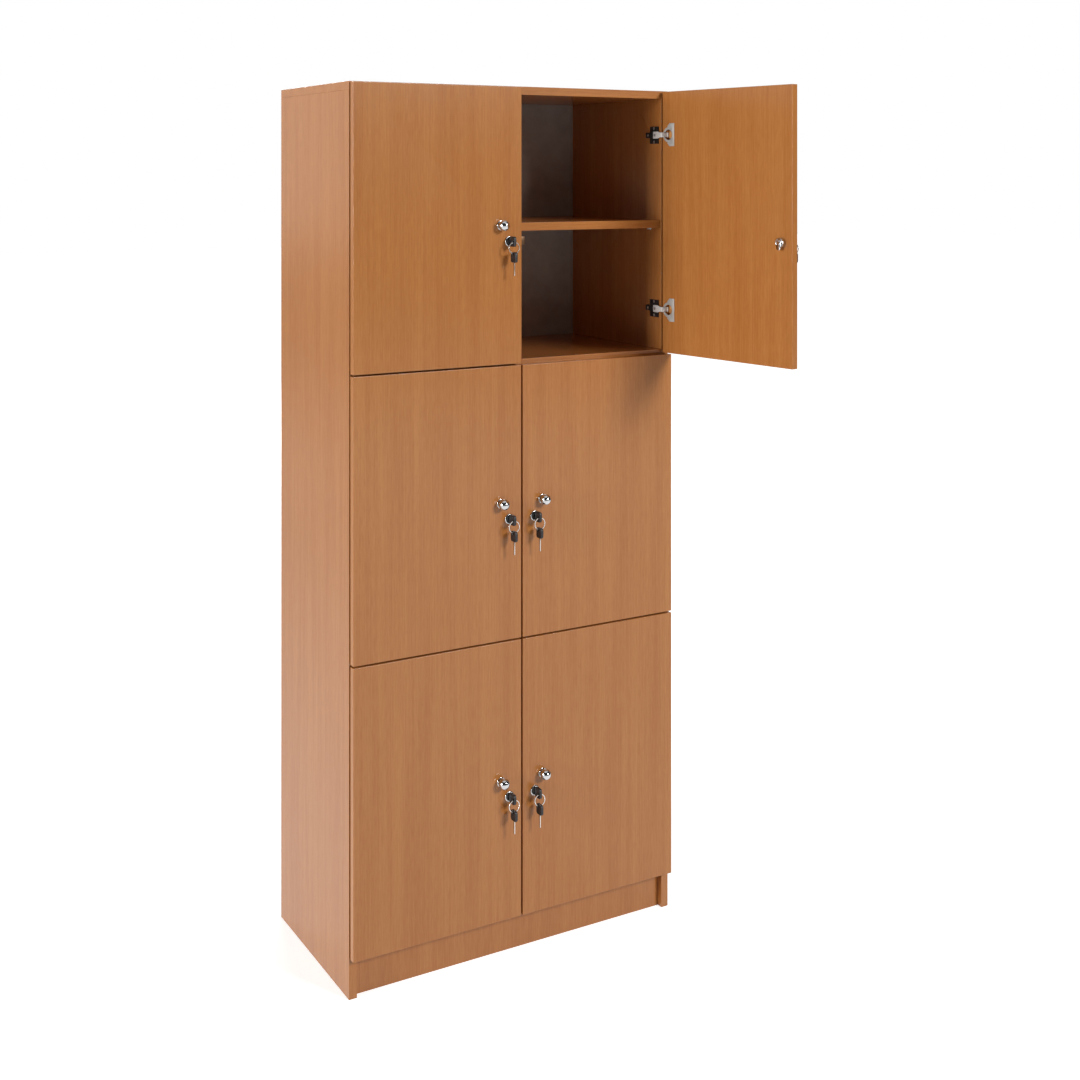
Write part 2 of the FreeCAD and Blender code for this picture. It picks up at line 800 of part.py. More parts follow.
def main():
    os.makedirs("parts", exist_ok=True)
    for name, solids in carcass_pieces().items():
        group(solids).exportStep("parts/" + name + ".step")
    for row, row_name in enumerate(ROWS):
        for column, side in SIDES.items():
            stands_open = (row_name, column) == OPEN_DOOR
            for name, solids in door_pieces(side, row).items():
                placed = [swung_open(solid, side) for solid in solids] if stands_open else solids
                group(placed).exportStep("parts/" + name + "_" + row_name + "_" + column + ".step")


main()
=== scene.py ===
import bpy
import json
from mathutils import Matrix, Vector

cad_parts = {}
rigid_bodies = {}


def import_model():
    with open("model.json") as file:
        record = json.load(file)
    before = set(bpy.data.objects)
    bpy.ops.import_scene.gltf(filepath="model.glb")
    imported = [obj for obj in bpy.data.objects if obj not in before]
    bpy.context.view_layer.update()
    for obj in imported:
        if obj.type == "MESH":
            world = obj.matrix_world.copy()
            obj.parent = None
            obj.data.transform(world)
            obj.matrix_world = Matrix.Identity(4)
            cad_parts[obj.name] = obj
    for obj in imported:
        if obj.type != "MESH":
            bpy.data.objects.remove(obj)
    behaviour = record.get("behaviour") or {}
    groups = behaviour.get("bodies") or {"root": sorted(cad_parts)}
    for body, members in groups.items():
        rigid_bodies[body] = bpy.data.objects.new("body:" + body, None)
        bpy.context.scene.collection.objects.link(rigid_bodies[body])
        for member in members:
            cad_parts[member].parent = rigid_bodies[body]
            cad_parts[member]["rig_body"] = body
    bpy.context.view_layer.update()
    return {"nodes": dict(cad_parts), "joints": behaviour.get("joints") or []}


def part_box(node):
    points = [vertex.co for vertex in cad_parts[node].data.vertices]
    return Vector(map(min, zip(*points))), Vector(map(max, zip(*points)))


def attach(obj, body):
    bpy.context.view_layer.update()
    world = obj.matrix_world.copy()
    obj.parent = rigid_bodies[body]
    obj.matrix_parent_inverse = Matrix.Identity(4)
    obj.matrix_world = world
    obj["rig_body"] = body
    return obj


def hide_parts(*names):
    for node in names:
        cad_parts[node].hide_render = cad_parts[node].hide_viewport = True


bl_info = {
    "name": "Compartment Locker Cabinet",
    "version": (1, 0, 0),
    "blender": (4, 5, 0),
    "location": "3D View > Sidebar > Locker",
    "description": "Dresses the frame of a locker cabinet with its finishes, fittings and stage",
    "category": "Object",
}

import json
import math

import bmesh
import bpy
from mathutils import Matrix, Vector

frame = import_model()

# Lengths in the shape functions are millimetres; the scene is in metres.
MM = 0.001

# Doors, as the frame names them, and the places that their fittings share
JOINTS = {joint["name"]: joint for joint in frame["joints"]}
DOORS = sorted(name[len("door_"):] for name in JOINTS if name.startswith("door_"))
SHUT_DOOR = "bottom_left"
DOOR_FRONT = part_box("door_" + SHUT_DOOR)[0].y
DOOR_THICKNESS = (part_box("door_" + SHUT_DOOR)[1].y - DOOR_FRONT) / MM
LOCK_POINT = Vector(JOINTS["lock_" + SHUT_DOOR]["pos_m"])
RING_POINT = Vector(JOINTS["spare_" + SHUT_DOOR]["pos_m"])
KNOB_LOW, KNOB_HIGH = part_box("knob_" + SHUT_DOOR)
KNOB_POINT = (KNOB_LOW + KNOB_HIGH) / 2

# Boards whose printed grain runs along the width; on all the others it runs upright
BOARDS_ACROSS = ("top_panel", "bottom_panel", "deck_panels", "shelves")
BOARDS_UPRIGHT = ("left_side_panel", "right_side_panel", "centre_partition", "plinth_board")

# Knob, turned from the solid
KNOB_RADIUS = (KNOB_HIGH.x - KNOB_LOW.x) / 2 / MM
KNOB_REACH = (DOOR_FRONT - KNOB_LOW.y) / MM
KNOB_STUD_DEPTH = (KNOB_HIGH.y - DOOR_FRONT) / MM
KNOB_STUD_RADIUS = 2.0
ROSE_RADIUS = 10.5
ROSE_HEIGHT = 2.5
ROSE_LIP = 0.8
NECK_RADIUS = 5.0

# Cam lock
COLLAR_RADIUS = 11.25
COLLAR_HEIGHT = 3.0
COLLAR_CHAMFER = 1.0
BARREL_RADIUS = 9.0
BARREL_TAIL = 9.0
NUT_RADIUS = 11.0
NUT_HEIGHT = 8.8
BORE_RADIUS = 6.5
PLUG_PLAY = 0.05
TAIL_PLAY = 0.2
KEYWAY_HALF_WIDTH = 1.0
KEYWAY_HALF_HEIGHT = 2.6
KEYWAY_CORNER = 0.2
KEYWAY_DEPTH = 27.5
CAM_THICKNESS = 2.0
CAM_HALF_WIDTH = 6.0
CAM_REACH = 16.0
CAM_SCREW_RADIUS = 4.5
CAM_SCREW_HEIGHT = 1.4

# Keys
KEY_IN_LOCK = 27.0
BLADE_LENGTH = 29.0
BLADE_HEIGHT = 5.0
BLADE_THICKNESS = 1.8
BLADE_IN_HEAD = 10.0
NOTCH_DEPTH = 1.0
NOTCH_COUNT = 4
HEAD_LENGTH = 22.5
HEAD_WIDTH = 22.0
HEAD_THICKNESS = 6.0
HEAD_CORNER = 5.0
HEAD_EDGE = 1.2
HOLE_RADIUS = 2.6
HOLE_FROM_END = 4.8
RING_RADIUS = 12.5
RING_WIRE = 1.7
RING_CORNER = 0.3
RING_TURN = 0.95
RING_TURNS = 2.0

# Rounding of the edges
SCREW_EDGE = 0.1
BLADE_EDGE = 0.2
SMALL_EDGE = 0.3
BENT_EDGE = 0.4
PLATE_EDGE = 0.6

# Lamps, floor and screen, in metres
LAMP_TARGET = (0, 0, 1.0)
KEY_PLACE = (3.5, -7.4, 4.7)
KEY_SIZE = 2.2
FILL_PLACE = (-8.0, -0.6, 2.2)
FILL_SIZE = 2.5
BACK_PLACE = (2.5, 8.0, 3.5)
BACK_SIZE = 2.5
FLOOR_HALF = 30
FLOOR_DROP = 0.0002
FLOOR_NEAR = 1.0
FLOOR_FAR = 4.0
SCREEN_DISTANCE = 12.0
SCREEN_HEIGHT = 18.0

# Light that the floor and the surroundings give off, to the camera and to reflections
FLOOR_SHOWN_NEAR = 0.64
FLOOR_SHOWN_FAR = 1.0
FLOOR_MIRRORED_NEAR = 0.65
FLOOR_MIRRORED_FAR = 0.2
SKY_SHOWN = 1.0
SKY_MIRRORED = 0.8

# Plain tones, linear
WHITE = (1.0, 1.0, 1.0, 1.0)
FLOOR_TONE = (0.8, 0.8, 0.8, 1.0)
SCREEN_TONE = (0.02, 0.02, 0.02, 1.0)

# Values between which most of a noise lies
NOISE_LOW = 0.3
NOISE_HIGH = 0.7

# Sockets of a colour Mix node, whose names are shared with its sockets for other data
MIX_FACTOR = 0
MIX_FIRST = 6
MIX_SECOND = 7
MIX_RESULT = 2

SENSOR_WIDTH = 36
SPIN_STEPS = 48
LOOP_STEPS = 8
SHARP_ANGLE = math.radians(32)
FLAT_ANGLE = math.radians(0.5)
WELD = 1e-6
# Turn that lays a flat shape against a door's front: z out of the face, y up
FACE_TURN = Matrix.Rotation(math.radians(90), 4, "X")


def linear(code):
    """Linear colour of an sRGB hex value."""
    channels = [int(code[i:i + 2], 16) / 255 for i in (0, 2, 4)]
    return tuple(c / 12.92 if c <= 0.04045 else ((c + 0.055) / 1.055) ** 2.4 for c in channels)


def per_metre(size_mm):
    """Texture scale at which one feature is about that many millimetres."""
    return 1 / (size_mm * MM)


class LockerBoards(bpy.types.PropertyGroup):
    """Printed decor of the melamine boards."""

    light: bpy.props.FloatVectorProperty(
        name="Light grain", description="Lightest tone of the printed cherry", subtype="COLOR",
        default=linear("AF733C"), min=0, max=1)
    dark: bpy.props.FloatVectorProperty(
        name="Dark grain", description="Darkest tone of the printed cherry", subtype="COLOR",
        default=linear("A0632F"), min=0, max=1)
    fleck: bpy.props.FloatVectorProperty(
        name="Fleck", description="Tone of the short pore lines", subtype="COLOR",
        default=linear("8A5228"), min=0, max=1)
    back_tone: bpy.props.FloatVectorProperty(
        name="Back sheet", description="Tone of the lacquered hardboard", subtype="COLOR",
        default=linear("A9A19A"), min=0, max=1)
    streak_width: bpy.props.FloatProperty(
        name="Streak width", description="Width of one grain streak", unit="LENGTH",
        default=3 * MM, min=MM)
    streak_length: bpy.props.FloatProperty(
        name="Streak length", description="Length of one grain streak", unit="LENGTH",
        default=260 * MM, min=MM)


class LockerStage(bpy.types.PropertyGroup):
    """Camera and lamps."""

    camera_place: bpy.props.FloatVectorProperty(
        name="Camera place", description="Where the camera stands", subtype="TRANSLATION", unit="LENGTH",
        default=(-1.6007, -2.8889, 1.7077))
    camera_turn: bpy.props.FloatProperty(
        name="Camera turn", description="Turn of the level camera to the right", subtype="ANGLE",
        default=math.radians(30.006))
    lens: bpy.props.FloatProperty(
        name="Lens", description="Focal length on a 36 mm sensor, in millimetres", default=49.73, min=1)
    cross: bpy.props.FloatProperty(
        name="Lens cross", description="Horizontal shift of the lens", default=0.00055)
    rise: bpy.props.FloatProperty(
        name="Lens rise", description="Vertical shift that keeps upright edges parallel", default=-0.33909)
    key_power: bpy.props.FloatProperty(
        name="Key power", description="Power of the lamp at the upper right, in watts", default=590, min=0)
    fill_power: bpy.props.FloatProperty(
        name="Fill power", description="Power of the lamp at the left, in watts", default=560, min=0)
    back_power: bpy.props.FloatProperty(
        name="Back power", description="Power of the lamp behind the cabinet, in watts", default=300, min=0)
    ambient: bpy.props.FloatProperty(
        name="Ambient", description="Strength of the even light from all round", default=0.12, min=0)


def add_node(tree, kind, inputs=None, **settings):
    """Adds a node with its settings; inputs take a value, or a link from another node's socket."""
    node = tree.nodes.new(kind)
    for name, value in settings.items():
        setattr(node, name, value)
    for name, value in (inputs or {}).items():
        socket = node.inputs[name]
        if isinstance(value, bpy.types.NodeSocket):
            tree.links.new(value, socket)
        else:
            socket.default_value = value
    return node


def new_material(name):
    """An empty material, its node tree and its Principled shader."""
    material = bpy.data.materials.new(name)
    material.use_nodes = True
    tree = material.node_tree
    tree.nodes.clear()
    shader = add_node(tree, "ShaderNodeBsdfPrincipled")
    add_node(tree, "ShaderNodeOutputMaterial", {"Surface": shader.outputs["BSDF"]})
    return material, tree, shader


def stretched_noise(tree, width_mm, length_mm, grain_axis, detail, distortion=0.0):
    """Noise drawn out along the grain, at real sizes across and along it."""
    scale = [per_metre(length_mm) if axis == grain_axis else per_metre(width_mm) for axis in "XYZ"]
    place = add_node(tree, "ShaderNodeTexCoord")
    mapping = add_node(tree, "ShaderNodeMapping", {"Vector": place.outputs["Object"], "Scale": scale})
    noise = {"Vector": mapping.outputs["Vector"], "Scale": 1.0, "Detail": detail, "Distortion": distortion}
    return add_node(tree, "ShaderNodeTexNoise", noise).outputs["Fac"]


def mapped(tree, value, low, high, to_low=0.0, to_high=1.0):
    """Value taken from one range to another, and kept inside it."""
    inputs = {"Value": value, "From Min": low, "From Max": high, "To Min": to_low, "To Max": to_high}
    return add_node(tree, "ShaderNodeMapRange", inputs).outputs["Result"]


def mixed(tree, factor, first, second):
    """Colour between two others; each is a colour or another node's socket."""
    pick = {MIX_FACTOR: factor}
    for socket, colour in ((MIX_FIRST, first), (MIX_SECOND, second)):
        pick[socket] = colour if isinstance(colour, bpy.types.NodeSocket) else (*colour, 1.0)
    return add_node(tree, "ShaderNodeMix", pick, data_type="RGBA").outputs[MIX_RESULT]


def cherry_melamine(grain_axis):
    """Melamine film printed as cherry on particle board, pressed with a fine pore.

    Low-contrast straight streaks, a few broader bands and short darker pore lines under a satin film.
    """
    finish = bpy.context.scene.locker_boards
    material, tree, shader = new_material("cherry_melamine_" + grain_axis.lower())
    streak_mm = finish.streak_width / MM
    length_mm = finish.streak_length / MM
    band_mm = 9 * streak_mm
    band_length_mm = 2.5 * length_mm
    dash_mm = 0.8 * streak_mm
    dash_length_mm = 0.12 * length_mm
    # Real pores are 0.2 mm wide; they are drawn 1 mm wide so that they show at all.
    pore_mm = 1.0
    pore_length_mm = 18.0
    bands = stretched_noise(tree, band_mm, band_length_mm, grain_axis, detail=2.0, distortion=0.3)
    streaks = stretched_noise(tree, streak_mm, length_mm, grain_axis, detail=4.0, distortion=0.2)
    dashes = stretched_noise(tree, dash_mm, dash_length_mm, grain_axis, detail=2.0, distortion=0.2)
    pores = stretched_noise(tree, pore_mm, pore_length_mm, grain_axis, detail=1.0)
    both = add_node(tree, "ShaderNodeMath", {0: bands, 1: streaks}, operation="ADD").outputs["Value"]
    figure = add_node(tree, "ShaderNodeMath", {0: both, 1: dashes}, operation="ADD").outputs["Value"]
    tone = mixed(tree, mapped(tree, figure, 1.15, 1.85), finish.light, finish.dark)
    marks = mapped(tree, pores, 0.62, 0.8, to_high=0.5)
    colour = mixed(tree, marks, tone, finish.fleck)
    bump = {"Height": marks, "Strength": 0.15, "Distance": 0.05 * MM}
    relief = add_node(tree, "ShaderNodeBump", bump, invert=True)
    rough = mapped(tree, streaks, NOISE_LOW, NOISE_HIGH, to_low=0.2, to_high=0.24)
    tree.links.new(colour, shader.inputs["Base Color"])
    tree.links.new(rough, shader.inputs["Roughness"])
    tree.links.new(relief.outputs["Normal"], shader.inputs["Normal"])
    return material


def lacquered_hardboard():
    """Hardboard lacquered pale grey: even, dull, with a faint cloudiness from the pressed fibres."""
    material, tree, shader = new_material("lacquered_hardboard")
    tone = bpy.context.scene.locker_boards.back_tone
    cloud_mm = 30.0
    cloud_shade = 0.86
    clouds = stretched_noise(tree, cloud_mm, cloud_mm, "Z", detail=3.0)
    darker = tuple(cloud_shade * c for c in tone)
    colour = mixed(tree, mapped(tree, clouds, NOISE_LOW, NOISE_HIGH), tone, darker)
    tree.links.new(colour, shader.inputs["Base Color"])
    shader.inputs["Roughness"].default_value = 0.6
    return material


def metal(name, colour, rough_low, rough_high, grit_mm, metallic=1.0):
    """A bare or plated metal: its tint, and gloss that varies over its grit."""
    material, tree, shader = new_material(name)
    grit = stretched_noise(tree, grit_mm, grit_mm, "Z", detail=2.0)
    rough = mapped(tree, grit, 0.35, 0.65, rough_low, rough_high)
    shader.inputs["Base Color"].default_value = (*linear(colour), 1.0)
    shader.inputs["Metallic"].default_value = metallic
    tree.links.new(rough, shader.inputs["Roughness"])
    return material


def polished_chrome():
    """Chrome plate on turned brass: mirror bright, slightly cool."""
    return metal("polished_chrome", "C6C7C8", rough_low=0.04, rough_high=0.07, grit_mm=4.0)


def satin_nickel(name, colour):
    """Matt nickel on pressed steel: pale grey that catches light from all round, with little shine."""
    return metal(name, colour, rough_low=0.46, rough_high=0.54, grit_mm=1.2, metallic=0.45)


def bright_zinc():
    """Bright zinc on screws, pins and nails: pale, slightly blue."""
    return metal("bright_zinc", "D4D6D8", rough_low=0.28, rough_high=0.34, grit_mm=1.0)


def yellow_passivated():
    """Steel cup under a yellow passivated zinc film: brassy brown and fairly dull."""
    return metal(
        "yellow_passivated_zinc", "C2884A", rough_low=0.42, rough_high=0.5, grit_mm=2.0, metallic=0.5)


def key_nickel():
    """Nickel plate on stamped brass and spring wire: bright, with fine wear."""
    return metal("key_nickel", "D6D4D0", rough_low=0.2, rough_high=0.26, grit_mm=0.8)


def bronzed_steel():
    """Steel angle with a dark bronzed film."""
    return metal("bronzed_steel", "5A4636", rough_low=0.4, rough_high=0.48, grit_mm=2.0)


def black_lacquer():
    """Black stove lacquer on pressed steel: satin, with a slight orange peel."""
    material, tree, shader = new_material("black_lacquer")
    peel_mm = 0.8
    peel = stretched_noise(tree, peel_mm, peel_mm, "Z", detail=2.0)
    shader.inputs["Base Color"].default_value = (*linear("161616"), 1.0)
    shader.inputs["Roughness"].default_value = 0.42
    bump = {"Height": peel, "Strength": 0.2, "Distance": 0.03 * MM}
    relief = add_node(tree, "ShaderNodeBump", bump)
    tree.links.new(relief.outputs["Normal"], shader.inputs["Normal"])
    return material


def black_abs():
    """Black ABS moulded with a fine spark-eroded grain: nearly black, soft highlights."""
    material, tree, shader = new_material("black_abs")
    grain_mm = 0.6
    grain = stretched_noise(tree, grain_mm, grain_mm, "Z", detail=2.0)
    rough = mapped(tree, grain, NOISE_LOW, NOISE_HIGH, to_low=0.34, to_high=0.5)
    shader.inputs["Base Color"].default_value = (*linear("1B1B1E"), 1.0)
    tree.links.new(rough, shader.inputs["Roughness"])
    bump = {"Height": grain, "Strength": 0.25, "Distance": 0.03 * MM}
    relief = add_node(tree, "ShaderNodeBump", bump)
    tree.links.new(relief.outputs["Normal"], shader.inputs["Normal"])
    return material


def turned_beech():
    """Beech dowel rod, bare: pale, with short fine flecks along the rod."""
    material, tree, shader = new_material("turned_beech")
    fleck_mm = 0.8
    fleck_length_mm = 6.0
    flecks = stretched_noise(tree, fleck_mm, fleck_length_mm, "X", detail=2.0)
    colour = mixed(tree, mapped(tree, flecks, 0.4, 0.7), linear("D8B48A"), linear("B98D60"))
    tree.links.new(colour, shader.inputs["Base Color"])
    shader.inputs["Roughness"].default_value = 0.7
    return material


def add_part(piece, part, place):
    """Welds a finished part, sets it in its place and adds it to the piece's mesh."""
    bmesh.ops.remove_doubles(part, verts=part.verts, dist=WELD)
    bmesh.ops.transform(part, matrix=place, verts=part.verts)
    bmesh.ops.recalc_face_normals(part, faces=part.faces)
    mesh = bpy.data.meshes.new("part")
    part.to_mesh(mesh)
    part.free()
    piece.from_mesh(mesh)
    bpy.data.meshes.remove(mesh)


def ease(part, radius_mm, segments=2):
    """Rounds the part's sharp edges."""
    bmesh.ops.remove_doubles(part, verts=part.verts, dist=WELD)
    bmesh.ops.recalc_face_normals(part, faces=part.faces)
    part.normal_update()
    sharp = [e for e in part.edges if len(e.link_faces) == 2 and e.calc_face_angle() > SHARP_ANGLE]
    bmesh.ops.bevel(
        part, geom=sharp, offset=radius_mm * MM, offset_type="OFFSET", segments=segments, profile=0.5,
        affect="EDGES", material=-1, clamp_overlap=True)


def turned(profile, closed=False):
    """Part turned about its z axis from a profile of (radius, height)."""
    part = bmesh.new()
    verts = [part.verts.new((r * MM, 0, h * MM)) for r, h in profile]
    pairs = list(zip(verts, verts[1:])) + ([(verts[-1], verts[0])] if closed else [])
    edges = [part.edges.new(pair) for pair in pairs]
    bmesh.ops.spin(
        part, geom=verts + edges, cent=(0, 0, 0), axis=(0, 0, 1), dvec=(0, 0, 0), angle=math.tau,
        steps=SPIN_STEPS, use_merge=True, use_duplicate=False)
    return part


def loop(part, points, height):
    """A closed ring of edges through the points, at a height."""
    verts = [part.verts.new((x * MM, y * MM, height * MM)) for x, y in points]
    return [part.edges.new(pair) for pair in zip(verts, verts[1:] + verts[:1])]


def arc(center, radius, start, end, steps):
    """Points of an arc, angles in degrees."""
    angles = [math.radians(start + (end - start) * i / steps) for i in range(steps + 1)]
    return [(center[0] + radius * math.cos(a), center[1] + radius * math.sin(a)) for a in angles]


def rounded_outline(half_x, half_y, radius, middle=(0, 0)):
    """A rectangle with round corners, all round from its right-hand side."""
    points = []
    for quarter, (sx, sy) in enumerate(((1, 1), (-1, 1), (-1, -1), (1, -1))):
        center = (middle[0] + sx * (half_x - radius), middle[1] + sy * (half_y - radius))
        points += arc(center, radius, 90 * quarter, 90 * quarter + 90, LOOP_STEPS - 1)
    return points


def circle_outline(radius, middle, count):
    """A circle of that many points."""
    return arc(middle, radius, 0, 360 - 360 / count, count - 1)


def raised(part, height_mm):
    """Draws the part's flat faces out into a plate of that thickness."""
    made = bmesh.ops.extrude_face_region(part, geom=list(part.faces))
    top = [v for v in made["geom"] if isinstance(v, bmesh.types.BMVert)]
    bmesh.ops.translate(part, vec=(0, 0, height_mm * MM), verts=top)


def slab(points, thickness_mm):
    """A plate of that outline, half its thickness either side of z = 0."""
    part = bmesh.new()
    bmesh.ops.contextual_create(part, geom=loop(part, points, -thickness_mm / 2))
    raised(part, thickness_mm)
    return part


def holed_slab(points, hole, thickness_mm):
    """A plate of that outline with a hole of as many points, half its thickness either side of z = 0."""
    part = bmesh.new()
    edges = loop(part, points, -thickness_mm / 2) + loop(part, hole, -thickness_mm / 2)
    bmesh.ops.bridge_loops(part, edges=edges)
    raised(part, thickness_mm)
    return part


def finish_piece(bm, name, materials, body, nodes=()):
    """Makes an object of the mesh, with its finishes, its body and the nodes that it stands for."""
    mesh = bpy.data.meshes.new(name)
    bm.to_mesh(mesh)
    bm.free()
    mesh.shade_smooth()
    mesh.set_sharp_from_angle(angle=SHARP_ANGLE)
    for material in materials:
        mesh.materials.append(material)
    piece = bpy.data.objects.new(name, mesh)
    bpy.context.scene.collection.objects.link(piece)
    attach(piece, body)
    if nodes:
        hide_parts(*nodes)
    return piece


def merged_copy(node):
    """Mesh of a node's own shape, with its flat faces whole."""
    part = bmesh.new()
    part.from_mesh(frame["nodes"][node].data)
    bmesh.ops.remove_doubles(part, verts=part.verts, dist=WELD)
    bmesh.ops.dissolve_limit(part, angle_limit=FLAT_ANGLE, verts=part.verts, edges=part.edges)
    return part


def eased_copy(node, radius_mm):
    """Mesh of a node's own shape with its edges rounded."""
    part = merged_copy(node)
    ease(part, radius_mm)
    return part


def stand_in(bm, node, materials):
    """Puts a mesh in place of its node."""
    body = frame["nodes"][node]["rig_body"]
    return finish_piece(bm, node + "_finished", materials, body, [node])


def dress(node, material):
    """Gives a node of the frame its finish."""
    mesh = frame["nodes"][node].data
    mesh.materials.clear()
    mesh.materials.append(material)


def stands(where):
    """Turn of a door from shut to the pose that it is kept in, about its hinge pins."""
    joint = JOINTS["door_" + where]
    angle = -math.radians(min(joint["range_deg"][0], 0))
    pivot = Matrix.Translation(joint["pos_m"])
    return pivot @ Matrix.Rotation(angle, 4, Vector(joint["axis"])) @ pivot.inverted()


def on_door(where, like):
    """Frame on a door's front face, level with a place on the shut door: z out of the face, y up."""
    side = 1 if where.endswith("right") else -1
    height = JOINTS["lock_" + where]["pos_m"][2] + like.z - LOCK_POINT.z
    face = Matrix.Translation((side * abs(like.x), DOOR_FRONT, height))
    return stands(where) @ face @ FACE_TURN


def axes(u, v, w, origin=(0, 0, 0)):
    """Frame whose x, y and z axes point along u, v and w."""
    columns = Matrix((u, v, w)).transposed().to_4x4()
    return Matrix.Translation(Vector(origin) * MM) @ columns


class LOCKER_OT_boards(bpy.types.Operator):
    """Gives the carcass boards and doors their cherry melamine, and the back its hardboard"""

    bl_idname = "locker.boards"
    bl_label = "Boards"

    def execute(self, context):
        upright = cherry_melamine("Z")
        across = cherry_melamine("X")
        for node in BOARDS_UPRIGHT + tuple("door_" + where for where in DOORS):
            self.board(node, upright)
        for node in BOARDS_ACROSS:
            self.board(node, across)
        dress("back_panel", lacquered_hardboard())
        return {"FINISHED"}

    def board(self, node, material):
        """A board whose round edges shade smoothly into its flat faces."""
        board = stand_in(merged_copy(node), node, [material])
        board.modifiers.new("weighted_normals", "WEIGHTED_NORMAL").keep_sharp = True


class LOCKER_OT_joinery(bpy.types.Operator):
    """Gives the dowels, cam fittings, nails, shelf pins and keepers their finishes"""

    bl_idname = "locker.joinery"
    bl_label = "Joinery"

    def execute(self, context):
        zinc = bright_zinc()
        bronze = bronzed_steel()
        dress("carcass_dowels", turned_beech())
        # Only the ends of the cam discs show, under foil caps in the decor of the boards.
        dress("cam_fittings", cherry_melamine("Z"))
        dress("back_nails", zinc)
        stand_in(eased_copy("shelf_pins", SMALL_EDGE), "shelf_pins", [zinc])
        stand_in(eased_copy("lock_keepers", BENT_EDGE), "lock_keepers", [bronze])
        stand_in(eased_copy("keeper_screws", SCREW_EDGE), "keeper_screws", [bronze])
        return {"FINISHED"}


class LOCKER_OT_hinges(bpy.types.Operator):
    """Makes the cup hinges: black plates, nickel arms painted pale against their shade, nickel flanges
    painted dull against the light on them, passivated cups and bright screws
    """

    bl_idname = "locker.hinges"
    bl_label = "Cup hinges"

    def execute(self, context):
        # Arms and cup flanges are one nickel plate. The arms are painted paler to lift the shade that they
        # sit in, and the flanges and cups duller to tone down the light that falls on them.
        arm_nickel_paled_for_shade = satin_nickel("satin_nickel", "EFEDE9")
        dull_nickel = satin_nickel("dull_nickel", "AFACA7")
        passivated = yellow_passivated()
        stand_in(eased_copy("hinge_plates", PLATE_EDGE), "hinge_plates", [black_lacquer()])
        stand_in(eased_copy("hinge_arms", BENT_EDGE), "hinge_arms", [arm_nickel_paled_for_shade])
        stand_in(eased_copy("hinge_screws", SCREW_EDGE), "hinge_screws", [bright_zinc()])
        for where in DOORS:
            cups = eased_copy("hinge_cups_" + where, SMALL_EDGE)
            self.line(cups, where)
            stand_in(cups, "hinge_cups_" + where, [dull_nickel, passivated])
        return {"FINISHED"}

    def line(self, cups, where):
        """Marks the faces that lie inside the door for the second finish."""
        shut = stands(where).inverted()
        for face in cups.faces:
            inside = (shut @ face.calc_center_median()).y < DOOR_FRONT + DOOR_THICKNESS * MM
            face.material_index = 1 if inside else 0


class LOCKER_OT_knobs(bpy.types.Operator):
    """Turns the ball knobs"""

    bl_idname = "locker.knobs"
    bl_label = "Knobs"

    def execute(self, context):
        chrome = polished_chrome()
        middle = KNOB_REACH - KNOB_RADIUS
        neck_angle = -math.degrees(math.acos(NECK_RADIUS / KNOB_RADIUS))
        rose_top = arc((ROSE_RADIUS - ROSE_LIP, ROSE_HEIGHT - 2 * ROSE_LIP), ROSE_LIP, 0, 90, LOOP_STEPS)
        profile = [(0, -KNOB_STUD_DEPTH), (KNOB_STUD_RADIUS, -KNOB_STUD_DEPTH), (KNOB_STUD_RADIUS, 0),
                   (ROSE_RADIUS, 0), *rose_top, (NECK_RADIUS, ROSE_HEIGHT)]
        profile += arc((0, middle), KNOB_RADIUS, neck_angle, 90, 4 * LOOP_STEPS)
        for where in DOORS:
            knob = bmesh.new()
            add_part(knob, turned(profile), on_door(where, KNOB_POINT))
            finish_piece(knob, "ball_knob_" + where, [chrome], where + "_door", ["knob_" + where])
        return {"FINISHED"}


